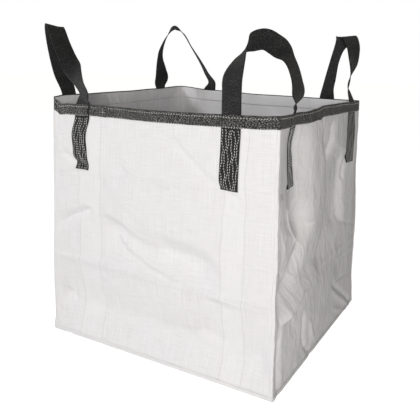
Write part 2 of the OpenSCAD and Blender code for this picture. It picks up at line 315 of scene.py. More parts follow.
def crinkle(x, z, facet, seed):
    """Facets of random sizes that meet in sharp folds, from 0 to about 1."""
    spots = np.random.default_rng(seed).uniform(0, 1, (64, 64, 2))
    turn = seed * 1.3
    u = (x * math.cos(turn) - z * math.sin(turn)) / facet + 31.7
    v = (x * math.sin(turn) + z * math.cos(turn)) / facet * 0.6 + 32.3
    u, v = u + 0.35 * np.sin(v * 1.9 + seed), v + 0.35 * np.sin(u * 2.3 + seed)
    i, j = np.floor(u).astype(int), np.floor(v).astype(int)
    nearest = np.full(np.shape(u), 9.0)
    for di in (-1, 0, 1):
        for dj in (-1, 0, 1):
            spot = spots[(i + di) % 64, (j + dj) % 64]
            reach = (i + di + spot[..., 0] - u) ** 2 + (j + dj + spot[..., 1] - v) ** 2
            nearest = np.minimum(nearest, reach)
    return np.sqrt(nearest + 0.03)


def fold_depth(x, z, k):
    """How far wall k's folds and bellies push points of it inwards, in metres."""
    half = half_length(k)
    depth = np.zeros(x.shape)
    for deep, left, right, sharp, line in WALL_FOLDS[k]:
        ends = [(a * half, h * RIM) for a, h in line]
        steps = [math.dist(p, q) for p, q in zip(ends[:-1], ends[1:])]
        nearest, offset, along = np.full(x.shape, 9.0), np.zeros(x.shape), np.zeros(x.shape)
        done = 0
        for (x0, z0), (x1, z1), step in zip(ends[:-1], ends[1:], steps):
            dx, dz = x1 - x0, z1 - z0
            t = np.clip(((x - x0) * dx + (z - z0) * dz) / step ** 2, 0, 1)
            px, pz = x - x0 - t * dx, z - z0 - t * dz
            distance = np.hypot(px, pz)
            near = distance < nearest
            nearest = np.where(near, distance, nearest)
            offset = np.where(near, np.sign(dx * pz - dz * px) * distance, offset)
            along = np.where(near, (done + t * step) / sum(steps), along)
            done += step
        s = nearest / (np.where(offset > 0, left, right) / 1000)
        profile = (1 - sharp) * np.exp(-s * s) + sharp * np.exp(-1.6 * s)
        runs_out = [abs(a) > 0.98 or h in (0, 1) for a, h in (line[0], line[-1])]
        fade = np.minimum(1, np.sin(np.pi * np.clip(along, 0, 1)) * 2.2)
        fade = np.where((along < 0.5) & runs_out[0] | (along >= 0.5) & runs_out[1], 1, fade)
        depth += FOLD_GAIN[k] * deep / 1000 * profile * fade
    for out, a, h, long, high in WALL_BELLIES[k]:
        s = ((x - a * half) / (long * half)) ** 2 + ((z - h * RIM) / (high * RIM)) ** 2
        depth -= out / 1000 * np.exp(-s ** 1.6)
    for n, (facet, deep) in enumerate(CRINKLES):
        facets = crinkle(x, z, facet, 10 * k + n + 3) - CRINKLE_LEVEL
        depth += CRINKLE_GAIN[k] * deep * (-1) ** n * facets
    return depth


def wall_points(k, x, z, inset=0.0):
    """Points of wall k's outer face, or inset behind it. x runs from its left
    corner to its right, seen from outside, in metres at that height."""
    x, z, inset = np.broadcast_arrays(*(np.asarray(given, float) for given in (x, z, inset)))
    h = z / RIM
    grow = FOOT_OUT * (1 - h)
    length, stand = half_length(k) + grow, half_length(k + 1) + grow
    from_corner = length - np.abs(x)
    level = np.clip(z, 0, RIM)
    phase = 2 * np.pi * (x / GATHER_PITCH + 0.9 * z / GATHER_PITCH * np.sign(x))
    uneven = 0.6 + 0.4 * np.sin(x * 37 + k) * np.sin(x * 11 + 2 * k)
    depth = fold_depth(x, level, k)
    depth += GATHER_DEPTH[k] * uneven * np.sin(phase + np.sin(x * 60)) * np.exp(-level / GATHER_HIGH)
    # the seams hold the cloth at the corners, the base holds it at the foot and
    # the tape stiffens the mouth
    held = ease(from_corner / CORNER_HOLD)
    held = held * (FOOT_FREE + (1 - FOOT_FREE) * ease(h / FOOT_HOLD))
    held = held * (1 - MOUTH_KEPT * ease((h - (1 - MOUTH_HOLD)) / MOUTH_HOLD))
    depth = depth * held + inset
    # round each corner, up to the seam on its middle
    share = np.clip(h, 0, 1) ** 2
    left, right = (
        foot + (mouth - foot) * share
        for foot, mouth in (CORNER_RADIUS[k], CORNER_RADIUS[(k + 1) % 4])
    )
    radius = np.where(x < 0, left, right)
    turn = np.pi / 4 * np.clip(1 - from_corner / radius, 0, 1)
    straight = np.maximum(from_corner, radius)
    along = length - straight + radius * np.sin(turn) - depth * np.sin(turn)
    local_x = np.sign(x) * along
    local_y = -stand + radius * (1 - np.cos(turn)) + depth * np.cos(turn)
    angle = math.pi / 2 * k
    world_x = local_x * math.cos(angle) - local_y * math.sin(angle)
    world_y = local_x * math.sin(angle) + local_y * math.cos(angle)
    a = np.clip(x / length, -1, 1)
    for corner, near in ((k, (1 - a) / 2), ((k + 1) % 4, (1 + a) / 2)):
        reach = ease(near * 1.8 - 0.8)
        wander = smooth_path(CORNER_WANDER[corner], h) / 1000
        world_x = world_x + reach * wander[..., 0]
        world_y = world_y + reach * wander[..., 1]
    rise = smooth_path(RIM_LINE[k], a)[..., 0] / 1000 * np.clip(h, 0, 1.1) ** 3
    return np.stack([world_x, world_y, z + rise], axis=-1)


def wall_columns(k, count):
    """Places along wall k from corner to corner, as shares, closer at the corners."""
    share = np.linspace(-1, 1, count)
    share = share * (1.16 - 0.16 * share ** 2)
    ends = np.array([0.25, 0.5, 0.75, 1.0])
    left = -1 + ends * CORNER_RADIUS[k][1] / half_length(k)
    right = 1 - ends * CORNER_RADIUS[(k + 1) % 4][1] / half_length(k)
    return np.unique(np.concatenate([share, left, right]))


def grid_piece(name, points, cloth=None, thick=None, offset=-1, closed=False):
    """A grid drawn over points[column, row], seen with its front outwards. closed
    joins its last column to its first. cloth[column, row] is its map, in metres."""
    columns, rows = points.shape[:2]
    wide = columns + closed
    mesh = bmesh.new()
    bmesh.ops.create_grid(mesh, x_segments=wide - 1, y_segments=rows - 1, size=1)
    places = [
        (round((v.co.x + 1) / 2 * (wide - 1)), round((v.co.y + 1) / 2 * (rows - 1)))
        for v in mesh.verts
    ]
    if cloth is not None:
        layer = mesh.loops.layers.uv.new("cloth")
        for face in mesh.faces:
            for loop in face.loops:
                loop[layer].uv = cloth[places[loop.vert.index]]
    for vert, (column, row) in zip(mesh.verts, places):
        vert.co = points[column % columns, row]
    if closed:
        bmesh.ops.remove_doubles(mesh, verts=mesh.verts, dist=1e-6)
    return finished(name, mesh, thick, offset)


def finished(name, mesh, thick=None, offset=-1):
    """The bmesh as an object, smooth, with the thickness of its cloth."""
    piece = bpy.data.objects.new(name, bpy.data.meshes.new(name))
    for face in mesh.faces:
        face.smooth = True
    mesh.to_mesh(piece.data)
    mesh.free()
    bpy.context.collection.objects.link(piece)
    if thick:
        shell = piece.modifiers.new("thickness", "SOLIDIFY")
        shell.thickness, shell.offset = thick, offset
    return piece


WEAVE_PITCH = 0.0024
STRIP_PLACES = (-.326, -.225, .267, .345)
STRIP_WIDE = 0.0022
# The thicker bands between two strips: middle and half width
BANDS = ((-.2755, .0505), (.306, .039))
CLOTH_LIGHT = (0.89, 0.885, 0.91, 1)
CLOTH_DARK = (0.78, 0.775, 0.79, 1)
CLOTH_STAIN = (0.86, 0.855, 0.83, 1)
BAND_PALE = (0.94, 0.935, 0.95, 1)
STRIP_GREY = (0.70, 0.70, 0.70, 1)
WEAVE_DEEP = 0.00035
CRUSH_DEEP = 0.0035


def blended(tree, share, first, second):
    """The first colour, turning to the second as share goes from 0 to 1."""
    return node(tree, "ShaderNodeMix", {0: share, 6: first, 7: second}, data_type="RGBA").outputs[2]


def woven_white(name, strips, crush=0.0):
    """White coated fabric: flat tapes woven over and under, slubs, woven-in
    strengthening strips, faint stains and a little sheen. crush is how deep the
    small facets of its crumpling are."""
    cloth = bpy.data.materials.new(name)
    cloth.use_nodes = True
    tree = cloth.node_tree
    shader = tree.nodes["Principled BSDF"]
    place = node(tree, "ShaderNodeUVMap", uv_map="cloth").outputs[0]
    wave = 2 * math.pi / 20 / WEAVE_PITCH
    over = node(tree, "ShaderNodeTexChecker", {
        "Vector": place, "Scale": 1 / WEAVE_PITCH, "Color1": (1, 1, 1, 1), "Color2": (0, 0, 0, 1),
    })
    warp = node(tree, "ShaderNodeTexWave", {"Vector": place, "Scale": wave}, bands_direction="X")
    weft = node(tree, "ShaderNodeTexWave", {"Vector": place, "Scale": wave}, bands_direction="Y")
    weave = node(tree, "ShaderNodeMix", {
        0: over.outputs["Fac"], 2: warp.outputs["Fac"], 3: weft.outputs["Fac"],
    })
    across = node(tree, "ShaderNodeMapping", {"Vector": place, "Scale": (16, 420, 1)})
    slub = node(tree, "ShaderNodeTexNoise", {"Vector": across.outputs[0], "Scale": 1, "Detail": 3})
    upward = node(tree, "ShaderNodeMapping", {"Vector": place, "Scale": (420, 9, 1)})
    run = node(tree, "ShaderNodeTexNoise", {"Vector": upward.outputs[0], "Scale": 1, "Detail": 2})
    lines = node(tree, "ShaderNodeMath", {
        0: slub.outputs["Fac"], 1: run.outputs["Fac"],
    }, operation="ADD")
    stain = node(tree, "ShaderNodeTexNoise", {
        "Vector": place, "Scale": 5, "Detail": 5, "Roughness": 0.6,
    })
    tone = node(tree, "ShaderNodeMapRange", {
        "Value": lines.outputs[0], "From Min": 0.7, "From Max": 1.15,
    })
    colour = blended(tree, tone.outputs[0], CLOTH_DARK, CLOTH_LIGHT)
    faded = node(tree, "ShaderNodeMapRange", {
        "Value": stain.outputs["Fac"], "From Min": 0.35, "From Max": 0.75, "To Min": 0, "To Max": 0.35,
    })
    colour = blended(tree, faded.outputs[0], colour, CLOTH_STAIN)
    height = node(tree, "ShaderNodeMath", {
        0: weave.outputs[0], 1: slub.outputs["Fac"],
    }, operation="ADD")
    if strips:
        apart = node(tree, "ShaderNodeSeparateXYZ", {0: place})
        sway = node(tree, "ShaderNodeTexNoise", {
            "Vector": node(tree, "ShaderNodeMapping", {"Vector": place, "Scale": (0, 7, 0)}).outputs[0],
            "Scale": 1, "Detail": 1,
        })
        shift = node(tree, "ShaderNodeMapRange", {
            "Value": sway.outputs["Fac"], "To Min": -0.012, "To Max": 0.012,
        })
        along = node(tree, "ShaderNodeMath", {
            0: apart.outputs["X"], 1: shift.outputs[0],
        }, operation="ADD")
        total = None
        for strip in STRIP_PLACES:
            beside = node(tree, "ShaderNodeMath", {
                0: along.outputs[0], 1: strip, 2: STRIP_WIDE,
            }, operation="COMPARE")
            total = beside if total is None else node(tree, "ShaderNodeMath", {
                0: total.outputs[0], 1: beside.outputs[0],
            }, operation="MAXIMUM")
        for middle, half in BANDS:
            between = node(tree, "ShaderNodeMath", {
                0: along.outputs[0], 1: middle, 2: half,
            }, operation="COMPARE")
            paler = node(tree, "ShaderNodeMath", {0: between.outputs[0], 1: 0.24}, operation="MULTIPLY")
            colour = blended(tree, paler.outputs[0], colour, BAND_PALE)
        share = node(tree, "ShaderNodeMath", {0: total.outputs[0], 1: 0.38}, operation="MULTIPLY")
        colour = blended(tree, share.outputs[0], colour, STRIP_GREY)
        height = node(tree, "ShaderNodeMath", {
            0: height.outputs[0], 1: total.outputs[0],
        }, operation="ADD")
    bump = node(tree, "ShaderNodeBump", {
        "Height": height.outputs[0], "Distance": WEAVE_DEEP, "Strength": 0.7,
    })
    if crush:
        bent = node(tree, "ShaderNodeTexNoise", {"Vector": place, "Scale": 9, "Detail": 2})
        shifted = node(tree, "ShaderNodeVectorMath", {
            0: bent.outputs["Color"], 1: (0.09, 0.09, 0),
        }, operation="MULTIPLY")
        moved = node(tree, "ShaderNodeVectorMath", {0: place, 1: shifted.outputs[0]}, operation="ADD")
        drawn = node(tree, "ShaderNodeMapping", {
            "Vector": moved.outputs[0], "Rotation": (0, 0, 0.35), "Scale": (24, 10, 1),
        })
        facets = node(tree, "ShaderNodeTexVoronoi", {"Vector": drawn.outputs[0], "Scale": 1})
        finer = node(tree, "ShaderNodeTexVoronoi", {"Vector": drawn.outputs[0], "Scale": 2.7})
        ridges = node(tree, "ShaderNodeMath", {
            0: finer.outputs["Distance"], 1: 0.4, 2: facets.outputs["Distance"],
        }, operation="MULTIPLY_ADD")
        bump = node(tree, "ShaderNodeBump", {
            "Height": ridges.outputs[0], "Distance": CRUSH_DEEP * crush, "Strength": 1,
            "Normal": bump.outputs[0],
        })
    rough = node(tree, "ShaderNodeMapRange", {
        "Value": lines.outputs[0], "From Min": 0.7, "From Max": 1.3, "To Min": 0.62, "To Max": 0.48,
    })
    tree.links.new(colour, shader.inputs["Base Color"])
    tree.links.new(rough.outputs[0], shader.inputs["Roughness"])
    tree.links.new(bump.outputs[0], shader.inputs["Normal"])
    shader.inputs["Specular IOR Level"].default_value = 0.35
    shader.inputs["Sheen Weight"].default_value = 0.05
    return cloth


# The side walls were crushed harder in packing than the front and the back
WALL_CRUSH = (0.3, 1, 0.5, 0.8)
crushed = [
    woven_white(f"woven_white_{wall}", strips=True, crush=crush)
    for wall, crush in zip(WALLS, WALL_CRUSH)
]
for k, wall in enumerate(WALLS):
    share = wall_columns(k, COLUMNS)[:, None]
    up = np.linspace(0, 1, ROWS) ** 0.95 * RIM
    fold_over = RIM + np.array([0.0006])
    down = RIM - np.linspace(0, 1, HEM_ROWS) * HEM_DEPTH
    z = np.concatenate([up, fold_over, down])[None, :]
    pressed = np.linspace(HEM_GAP, 2 * CLOTH_THICK + 0.0001, HEM_ROWS)
    inset = np.concatenate([np.zeros(ROWS), [HEM_GAP / 2], pressed])[None, :]
    length = half_length(k) + FOOT_OUT * (1 - z / RIM)
    points = wall_points(k, share * length, z, inset)
    run = np.concatenate([up, fold_over, 2 * RIM - down])[None, :]
    cloth = np.stack(np.broadcast_arrays(share * length, run), axis=-1)
    piece = grid_piece(f"{wall}_wall", points, cloth, CLOTH_THICK)
    piece.data.materials.append(crushed[k])
    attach(piece, "sack")
    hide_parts(f"{wall}_panel")

# ---------------------------------------------------------------------------
# The base: a square of the same fabric, laid on the floor inside the foot of the
# walls, its edges sewn to theirs.

BASE_CELLS = 90
BASE_INSET = 0.0006
BASE_PUFF = 0.0025


def base_points(s, t):
    """Points of the base between the four walls' feet; s and t run from -1 to 1."""
    x, y = s * (FOOT_HALF[0] - 0.001), t * (FOOT_HALF[1] - 0.001)
    front, back = wall_points(0, x, 0 * x, BASE_INSET), wall_points(2, -x, 0 * x, BASE_INSET)
    right, left = wall_points(1, y, 0 * y, BASE_INSET), wall_points(3, -y, 0 * y, BASE_INSET)
    from_front, from_left = (1 + t) / 2, (1 + s) / 2
    edge_y = front[..., 1] * (1 - from_front) + back[..., 1] * from_front
    edge_x = left[..., 0] * (1 - from_left) + right[..., 0] * from_left
    puff = BASE_PUFF * (crinkle(x, y, 0.13, 41) + 0.5 * crinkle(x, y, 0.06, 42))
    inside = ease((1 - np.maximum(np.abs(s), np.abs(t))) / 0.08)
    return np.stack([edge_x, edge_y, 0.0004 + puff * inside], axis=-1)


base_share = np.linspace(-1, 1, BASE_CELLS)
base_s, base_t = np.meshgrid(base_share, base_share, indexing="ij")
base_map = np.stack([base_s * FOOT_HALF[0], base_t * FOOT_HALF[1]], axis=-1)
base = grid_piece("base_cloth", base_points(base_s, base_t), base_map, CLOTH_THICK, offset=1)
base.data.materials.append(woven_white("woven_white_base", strips=False))
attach(base, "sack")
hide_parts("base_panel")

# ---------------------------------------------------------------------------
# The seams. The raw edges of two walls are rolled together and stand out as a
# narrow fin down each corner; the walls' feet and the base's edges are turned up
# together in a flat band. Both are the white fabric again, three layers thick.

FIN_OUT = 0.0045
FIN_THICK = 0.0022
FIN_START = 0.004
FIN_SHORT = 0.036
FIN_ROWS = 240
FIN_SIDES = 10
BAND_HIGH = 0.013
BAND_THICK = 0.0018
BAND_ROWS = 5

seam_cloth = woven_white("rolled_white", strips=False)


# The way out of the sack at each corner
CORNER_WAY = np.array([(-1, -1), (1, -1), (1, 1), (-1, 1)]) / math.sqrt(2)


def corner_line(i, z, out):
    """The line of corner i at heights z, standing out from it."""
    edge = half_length(i) + FOOT_OUT * (1 - z / RIM)
    line = wall_points(i, -edge, z)
    line[..., :2] += CORNER_WAY[i] * out
    return line


for i, corner in enumerate(CORNERS):
    z = np.linspace(FIN_START, RIM - FIN_SHORT, FIN_ROWS)
    sway = 0.5 * np.sin(z * 43 + i) + 0.35 * np.sin(z * 101 + 2 * i) + 0.25 * np.sin(z * 190 + 3 * i)
    out = CORNER_WAY[i]
    side = np.array([-out[1], out[0]])
    centre = corner_line(i, z, FIN_OUT / 2 - 0.001)
    rings = []
    for n in range(FIN_SIDES):
        turn = 2 * math.pi * n / FIN_SIDES
        reach = FIN_OUT / 2 * math.cos(turn) * (1 + 0.18 * np.sin(z * 75 + i))
        wide = FIN_THICK / 2 * math.sin(turn)
        lean = 0.0016 * sway * (1 + math.cos(turn)) / 2
        ring = centre.copy()
        ring[:, :2] += reach[:, None] * out + (wide + lean)[:, None] * side
        rings.append(ring)
    points = np.array(rings)
    cloth = np.zeros(points.shape[:2] + (2,))
    cloth[..., 0] = np.linspace(0, 2 * FIN_OUT, FIN_SIDES)[:, None]
    cloth[..., 1] = z[None, :]
    cloth = np.concatenate([cloth, cloth[:1]])
    piece = grid_piece(f"{corner}_seam_fin", points, cloth, closed=True)
    mesh = bmesh.new()
    mesh.from_mesh(piece.data)
    bmesh.ops.holes_fill(mesh, edges=mesh.edges)
    bmesh.ops.recalc_face_normals(mesh, faces=mesh.faces)
    mesh.to_mesh(piece.data)
    mesh.free()
    piece.data.materials.append(seam_cloth)
    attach(piece, "sack")
    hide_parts(f"{corner}_corner_seam")

band_parts, band_maps, band_run = [], [], 0.0
for k in range(4):
    share = wall_columns(k, COLUMNS)[:-1, None]
    z = np.linspace(0.0006, BAND_HIGH, BAND_ROWS)[None, :]
    length = half_length(k) + FOOT_OUT * (1 - z / RIM)
    proud = 0.0006 * np.sin(share * 90 + k) * ease(z / BAND_HIGH)
    points = wall_points(k, share * length, z, -BAND_THICK - 0.0003 - np.abs(proud))
    band_parts.append(points)
    run = band_run + (1 + share) * half_length(k)
    band_maps.append(np.stack(np.broadcast_arrays(run, z), axis=-1))
    band_run += 2 * half_length(k)
band_map = np.concatenate(band_maps)
band_end = band_map[:1].copy()
band_end[..., 0] = band_run
band = grid_piece(
    "base_seam_band", np.concatenate(band_parts), np.concatenate([band_map, band_end]),
    BAND_THICK, closed=True,
)
band.data.materials.append(seam_cloth)
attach(band, "sack")
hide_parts(*(f"{wall}_base_seam" for wall in WALLS))

# ---------------------------------------------------------------------------
# The seams' thread: white twisted yarn in a lock stitch, one row beside each
# corner on either wall, and two rows at the foot, one through the band and one
# above it.

STITCH_PITCH = 0.0085
STITCH_SHARE = 0.74
THREAD_WIDE = 0.0011
THREAD_HIGH = 0.0009
THREAD_INSET = 0.010
THREAD_LOOSE = 0.12
THREAD_WHITE = (0.86, 0.86, 0.84, 1)
THREAD_SOILED = (0.62, 0.62, 0.60, 1)


def sewn_thread(name, colour):
    """Twisted white yarn, a little fuzzy and soiled."""
    yarn = bpy.data.materials.new(name)
    yarn.use_nodes = True
    tree = yarn.node_tree
    shader = tree.nodes["Principled BSDF"]
    place = node(tree, "ShaderNodeTexCoord").outputs["Object"]
    twist = node(tree, "ShaderNodeTexNoise", {"Vector": place, "Scale": 900, "Detail": 2})
    soil = node(tree, "ShaderNodeTexNoise", {"Vector": place, "Scale": 35, "Detail": 3})
    tone = node(tree, "ShaderNodeMapRange", {
        "Value": soil.outputs["Fac"], "From Min": 0.35, "From Max": 0.7,
    })
    soiled = blended(tree, tone.outputs[0], THREAD_SOILED, colour)
    bump = node(tree, "ShaderNodeBump", {
        "Height": twist.outputs["Fac"], "Distance": 0.0003, "Strength": 0.6,
    })
    tree.links.new(soiled, shader.inputs["Base Color"])
    tree.links.new(bump.outputs[0], shader.inputs["Normal"])
    shader.inputs["Roughness"].default_value = 0.75
    return yarn


white_thread = sewn_thread("white_thread", THREAD_WHITE)
stitch_draw = np.random.default_rng(5)


def sew(
    mesh, centres, normals, pitch,
    wide=THREAD_WIDE, high=THREAD_HIGH, share=STITCH_SHARE, loose=THREAD_LOOSE,
):
    """A row of stitches through centres, each a small bead of thread that lies
    along the row on the side of normals; some lean a little out of line."""
    along = np.gradient(centres, axis=0)
    along /= np.linalg.norm(along, axis=1, keepdims=True)
    normals = normals / np.linalg.norm(normals, axis=1, keepdims=True)
    side = np.cross(normals, along)
    lean = stitch_draw.normal(0, loose, len(centres))[:, None]
    along = along + side * lean
    along /= np.linalg.norm(along, axis=1, keepdims=True)
    side = np.cross(normals, along)
    size = stitch_draw.uniform(0.85, 1.1, len(centres)) * pitch * share / 2
    row = bmesh.new()
    for c, a, s, n, half in zip(centres, along, side, normals, size):
        bead = Matrix((a * half, s * wide / 2, n * high / 2)).transposed().to_4x4()
        bead.translation = Vector(c)
        bmesh.ops.create_uvsphere(row, u_segments=6, v_segments=4, radius=1, matrix=bead)
    sewn = bpy.data.meshes.new("sewn_row")
    row.to_mesh(sewn)
    row.free()
    mesh.from_mesh(sewn)
    bpy.data.meshes.remove(sewn)


def surface_row(surface, x, z):
    """Points and outward directions of surface(x, z) at each x and z."""
    step = 0.002
    points = surface(x, z)
    across = surface(x + step, z) - surface(x - step, z)
    upward = surface(x, z + step) - surface(x, z - step)
    return points, np.cross(across, upward)


mesh = bmesh.new()
for k in range(4):
    for side in (-1, 1):
        z = np.arange(0.024, RIM - 0.046, STITCH_PITCH)
        x = side * (half_length(k) + FOOT_OUT * (1 - z / RIM) - THREAD_INSET)
        x = x + 0.0007 * np.sin(z * 55 + k)
        centres, normals = surface_row(lambda x, z: wall_points(k, x, z, -0.0001), x, z)
        sew(mesh, centres, normals, STITCH_PITCH)
piece = finished("corner_seam_thread", mesh)
piece.data.materials.append(white_thread)
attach(piece, "sack")
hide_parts("corner_seam_threads")

# Height of each row at the foot, and how far it stands behind the wall's face
FOOT_ROWS = ((0.0075, -BAND_THICK - 0.0006), (0.0180, -0.0001))

mesh = bmesh.new()
for k in range(4):
    reach = half_length(k) + FOOT_OUT - 0.012
    x = np.arange(-reach, reach, STITCH_PITCH)
    for high, inset in FOOT_ROWS:
        centres, normals = surface_row(
            lambda x, z: wall_points(k, x, z, inset), x, high + 0.0006 * np.sin(x * 40 + k),
        )
        sew(mesh, centres, normals, STITCH_PITCH)
piece = finished("base_seam_thread", mesh)
piece.data.materials.append(white_thread)
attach(piece, "sack")
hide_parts("base_seam_threads")

# ---------------------------------------------------------------------------
# The mouth tape: charcoal polypropylene webbing laid round the outside of the
# rim, over the legs of the loops, sewn along both edges with a heavy white thread,
# its ends lapped on the front wall.

TAPE_WIDE = 0.040
TAPE_THICK = 0.0012
TAPE_RAMP = 0.006
TAPE_LAP = 0.040
LAP_FROM_LEG = 0.104
TAPE_ROWS = 9
TAPE_COLUMNS = 260
TAPE_PROUD = 0.0042
ROW_MARGIN = 0.005
STRAP_WIDE = 0.065
STRAP_THICK = 0.0022
STRAP_GAP = 0.0004
# From each corner to the middle of its legs, on the front or back wall and on the
# side wall
LONG_INSET = (0.130, 0.158, 0.143, 0.165)
SIDE_INSET = (0.080, 0.128, 0.129, 0.165)


def leg_place(k, right):
    """Place along wall k of the middle of its left or its right leg."""
    corner = (k + 1) % 4 if right else k
    inset = (SIDE_INSET if k % 2 else LONG_INSET)[corner]
    return (half_length(k) - inset) * (1 if right else -1)


def tape_lift(k, x):
    """How far the tape stands off wall k to pass over the legs."""
    lift = np.zeros(np.shape(x))
    for right in (False, True):
        beyond = np.abs(x - leg_place(k, right)) - STRAP_WIDE / 2
        lift = np.maximum(lift, (STRAP_THICK + STRAP_GAP) * ease(1 - beyond / TAPE_RAMP))
    return lift


def tape_surface(k, x, z, out=0.0):
    """Points of the tape's outer face on wall k, or out from it."""
    return wall_points(k, x, z, -(tape_lift(k, x) + STRAP_GAP + TAPE_THICK + out))


def webbing(name, dark, light, speckle, rib):
    """Polypropylene webbing: ribs along it crossed by the weave, in charcoal yarn flecked with grey,
    with a dull shine."""
    cloth = bpy.data.materials.new(name)
    cloth.use_nodes = True
    tree = cloth.node_tree
    shader = tree.nodes["Principled BSDF"]
    place = node(tree, "ShaderNodeUVMap", uv_map="cloth").outputs[0]
    wave = 2 * math.pi / 20 / rib
    over = node(tree, "ShaderNodeTexChecker", {
        "Vector": place, "Scale": 1 / rib, "Color1": (1, 1, 1, 1), "Color2": (0, 0, 0, 1),
    })
    ribs = node(tree, "ShaderNodeTexWave", {
        "Vector": place, "Scale": wave, "Distortion": 0.6, "Detail Scale": 2,
    }, bands_direction="X")
    picks = node(tree, "ShaderNodeTexWave", {
        "Vector": place, "Scale": wave * 1.6, "Distortion": 0.8, "Detail Scale": 2,
    }, bands_direction="Y")
    weave = node(tree, "ShaderNodeMix", {
        0: over.outputs["Fac"], 2: ribs.outputs["Fac"], 3: picks.outputs["Fac"],
    })
    long = node(tree, "ShaderNodeMapping", {"Vector": place, "Scale": (430, 190, 1)})
    fleck = node(tree, "ShaderNodeTexNoise", {
        "Vector": long.outputs[0], "Scale": 1, "Detail": 2, "Roughness": 0.7,
    })
    patch = node(tree, "ShaderNodeTexNoise", {"Vector": place, "Scale": 28, "Detail": 4})
    seen = node(tree, "ShaderNodeMapRange", {
        "Value": fleck.outputs["Fac"], "From Min": 0.52, "From Max": 0.62, "To Max": speckle,
    })
    patchy = node(tree, "ShaderNodeMapRange", {
        "Value": patch.outputs["Fac"], "From Min": 0.3, "From Max": 0.7, "To Min": 0.35, "To Max": 1.0,
    })
    share = node(tree, "ShaderNodeMath", {
        0: seen.outputs[0], 1: patchy.outputs[0],
    }, operation="MULTIPLY")
    colour = blended(tree, share.outputs[0], dark, light)
    # painted shade: the low parts of the weave are darkened towards near-black in the colour, up to 35
    # per cent, as shade in its hollows
    painted_weave_shade = node(tree, "ShaderNodeMapRange", {
        "Value": weave.outputs[0], "To Min": 0.35, "To Max": 0.0,
    })
    colour = blended(tree, painted_weave_shade.outputs[0], colour, (0.004, 0.004, 0.0045, 1))
    bump = node(tree, "ShaderNodeBump", {
        "Height": weave.outputs[0], "Distance": 0.0006, "Strength": 0.9,
    })
    rough = node(tree, "ShaderNodeMapRange", {
        "Value": fleck.outputs["Fac"], "From Min": 0.3, "From Max": 0.7, "To Min": 0.6, "To Max": 0.82,
    })
    tree.links.new(colour, shader.inputs["Base Color"])
    tree.links.new(rough.outputs[0], shader.inputs["Roughness"])
    tree.links.new(bump.outputs[0], shader.inputs["Normal"])
    shader.inputs["Specular IOR Level"].default_value = 0.25
    shader.inputs["Sheen Weight"].default_value = 0.12
    shader.inputs["Sheen Roughness"].default_value = 0.4
    return cloth


TAPE_DARK = (0.014, 0.014, 0.015, 1)
TAPE_FLECK = (0.62, 0.62, 0.60, 1)
TAPE_RIB = 0.0021

tape_cloth = webbing("tape_webbing", TAPE_DARK, TAPE_FLECK, 1.0, TAPE_RIB)
tape_parts, tape_maps, tape_run = [], [], 0.0
tape_z = RIM + TAPE_PROUD - TAPE_WIDE * (1 - np.linspace(0, 1, TAPE_ROWS)[None, :])
for k in range(4):
    share = np.unique(np.concatenate([
        wall_columns(k, TAPE_COLUMNS)[:-1],
        *(
            (leg_place(k, right) + side * (STRAP_WIDE / 2 + TAPE_RAMP * np.linspace(0, 1, 4)))
            / half_length(k)
            for right in (False, True) for side in (-1, 1)
        ),
    ]))[:, None]
    length = half_length(k) + FOOT_OUT * (1 - tape_z / RIM)
    tape_parts.append(tape_surface(k, share * length, tape_z))
    run = tape_run + (1 + share) * half_length(k)
    tape_maps.append(np.stack(np.broadcast_arrays(tape_z, run), axis=-1))
    tape_run += 2 * half_length(k)
tape_map = np.concatenate(tape_maps)
tape_end = tape_map[:1].copy()
tape_end[..., 1] = tape_run
tape = grid_piece(
    "mouth_tape_webbing", np.concatenate(tape_parts), np.concatenate([tape_map, tape_end]),
    TAPE_THICK, closed=True,
)
tape.data.materials.append(tape_cloth)
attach(tape, "sack")

lap_middle = leg_place(0, False) + LAP_FROM_LEG
lap_x = lap_middle + np.linspace(-0.5, 0.5, 15)[:, None] * TAPE_LAP
lap_z = RIM + TAPE_PROUD - TAPE_WIDE * (1.01 - 1.02 * np.linspace(0, 1, TAPE_ROWS)[None, :])
lap_lift = 0.0002 + TAPE_THICK + 0 * lap_x
lap_map = np.stack(np.broadcast_arrays(lap_z, lap_x), axis=-1)
lap = grid_piece("mouth_tape_lapped_end", tape_surface(0, lap_x, lap_z, lap_lift), lap_map, TAPE_THICK)
lap.data.materials.append(tape_cloth)
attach(lap, "sack")
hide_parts("mouth_tape")

TAPE_STITCH = 0.0095
HEAVY_THREAD_WIDE = 0.0022
HEAVY_THREAD_HIGH = 0.0014
TAPE_THREAD_WHITE = (0.92, 0.92, 0.90, 1)
STITCH_LIFT = 0.0003

tape_thread = sewn_thread("tape_thread", TAPE_THREAD_WHITE)
for name, high in (("upper", -ROW_MARGIN), ("lower", -TAPE_WIDE + ROW_MARGIN)):
    mesh = bmesh.new()
    for k in range(4):
        reach = half_length(k) - 0.004
        x = np.arange(-reach, reach, TAPE_STITCH)
        z = RIM + high + 0.0008 * np.sin(x * 31 + 2 * k) + 0.0006 * np.sin(x * 83)
        centres, normals = surface_row(lambda x, z: tape_surface(k, x, z, STITCH_LIFT), x, z)
        sew(
            mesh, centres, normals, TAPE_STITCH,
            wide=HEAVY_THREAD_WIDE, high=HEAVY_THREAD_HIGH, share=0.62, loose=0.25,
        )
    piece = finished(f"mouth_tape_{name}_thread", mesh)
    piece.data.materials.append(tape_thread)
    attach(piece, "sack")
    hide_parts(f"mouth_tape_{name}_stitches")

LAP_STITCH = 0.004
LAP_THREAD_WIDE = 0.0013


def lap_face(x, z):
    """Points just off the face of the tape's lapped end."""
    return tape_surface(0, x, z, STITCH_LIFT + TAPE_THICK)


